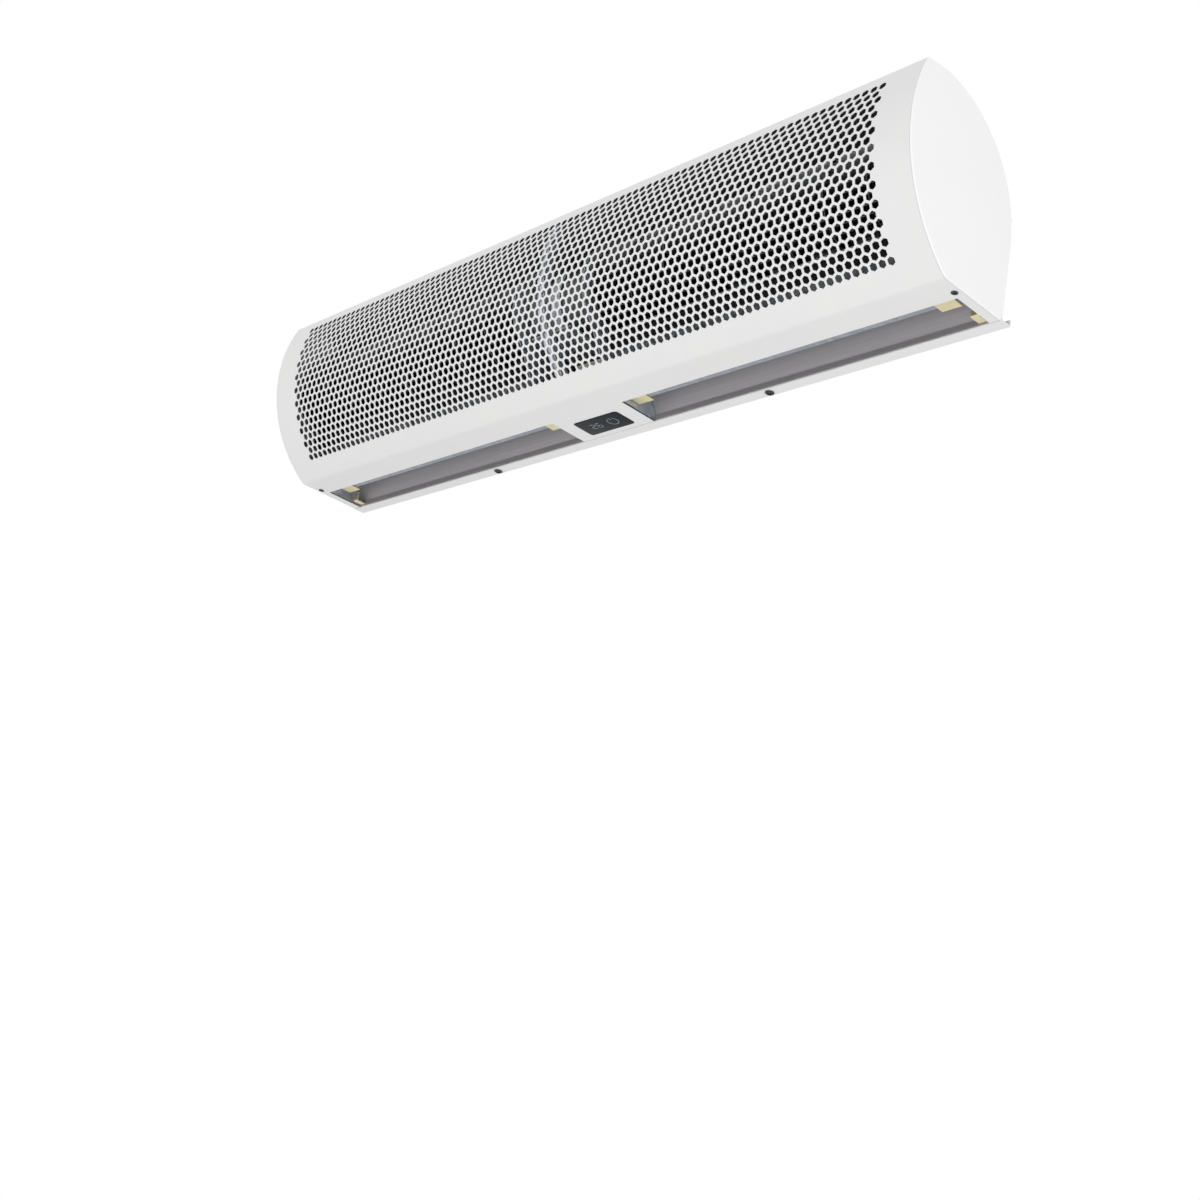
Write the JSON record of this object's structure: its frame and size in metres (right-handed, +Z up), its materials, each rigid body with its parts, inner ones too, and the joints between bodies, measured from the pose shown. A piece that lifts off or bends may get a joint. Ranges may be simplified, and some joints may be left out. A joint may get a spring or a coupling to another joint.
{
  "type": "air curtain",
  "caption": "Wall-hung air curtain: bowed perforated front, end panels, two slot outlets below with a touch display between them, and twin cross-flow fan wheels on one motor.",
  "frame": {"origin": "middle of the wall plate's rear face, which lies flat on the wall", "axes": "+X along the casing to the right as seen from the room, +Y into the wall, +Z up"},
  "size_m": [0.9, 0.1527, 0.1803],
  "materials": {
    "painted_casing": "white-grey powder coat, smooth, slight sheen",
    "painted_end_panel": "white powder coat, smooth, slight sheen",
    "galvanised_sheet": "hot-dip galvanised sheet with a faint spangle",
    "dark_duct_sheet": "galvanised sheet, dark in the duct's shade",
    "yellow_passivated_steel": "zinc plate with pale yellow passivation",
    "aluminium_wheel": "rolled aluminium blades, mill finish",
    "black_rubber": "black moulded rubber, dull",
    "bright_steel": "ground steel",
    "motor_steel": "grey lacquered steel",
    "display_glass": "black glossy panel",
    "board_laminate": "green circuit board",
    "pale_moulding": "off-white moulded plastic",
    "dark_moulding": "dark lacquered laminations",
    "blue_moulding": "blue moulded plastic",
    "screw_steel": "dark zinc-plated steel"
  },
  "bodies": {
    "casing": {"front_cover": "painted_casing", "rear_shell": "painted_casing", "wall_plate": "painted_casing", "end_panel_left": "painted_end_panel", "end_panel_right": "painted_end_panel", "cover_brace": "galvanised_sheet", "motor_cradle": "galvanised_sheet", "motor_strap": "galvanised_sheet", "electrics_tray": "galvanised_sheet", "tongue_left": "galvanised_sheet", "tongue_right": "galvanised_sheet", "duct_end_inner_left": "galvanised_sheet", "duct_end_inner_right": "galvanised_sheet", "duct_end_outer_left": "galvanised_sheet", "duct_end_outer_right": "galvanised_sheet", "bearing_housing_left": "galvanised_sheet", "bearing_housing_right": "galvanised_sheet", "scroll_left": "dark_duct_sheet", "scroll_right": "dark_duct_sheet", "tongue_clip_inner_left": "yellow_passivated_steel", "tongue_clip_inner_right": "yellow_passivated_steel", "tongue_clip_outer_left": "yellow_passivated_steel", "tongue_clip_outer_right": "yellow_passivated_steel", "outlet_bracket_left": "yellow_passivated_steel", "outlet_bracket_right": "yellow_passivated_steel", "bearing_cushion_left": "black_rubber", "bearing_cushion_right": "black_rubber", "cable_grommet": "black_rubber", "bearing_left": "bright_steel", "bearing_right": "bright_steel", "motor_body": "motor_steel", "motor_bell_left": "motor_steel", "motor_bell_right": "motor_steel", "display_lens": "display_glass", "display_board": "board_laminate", "control_board": "board_laminate", "run_capacitor": "pale_moulding", "terminal_block": "pale_moulding", "transformer": "dark_moulding", "relay": "blue_moulding", "flange_screw_left": "screw_steel", "flange_screw_right": "screw_steel", "corner_screw_left": "screw_steel", "corner_screw_right": "screw_steel", "strap_screw_upper": "screw_steel", "strap_screw_lower": "screw_steel"},
    "rotor": {"motor_shaft": "bright_steel", "impeller_left": "aluminium_wheel", "hub_left": "black_rubber", "stub_axle_left": "bright_steel", "impeller_right": "aluminium_wheel", "hub_right": "black_rubber", "stub_axle_right": "bright_steel"}
  },
  "joints": [
    {"name": "fan_spin", "type": "hinge", "parent": "casing", "child": "rotor", "pos_m": [0, -0.081, 0.0505], "axis": [1, 0, 0], "continuous": true}
  ]
}
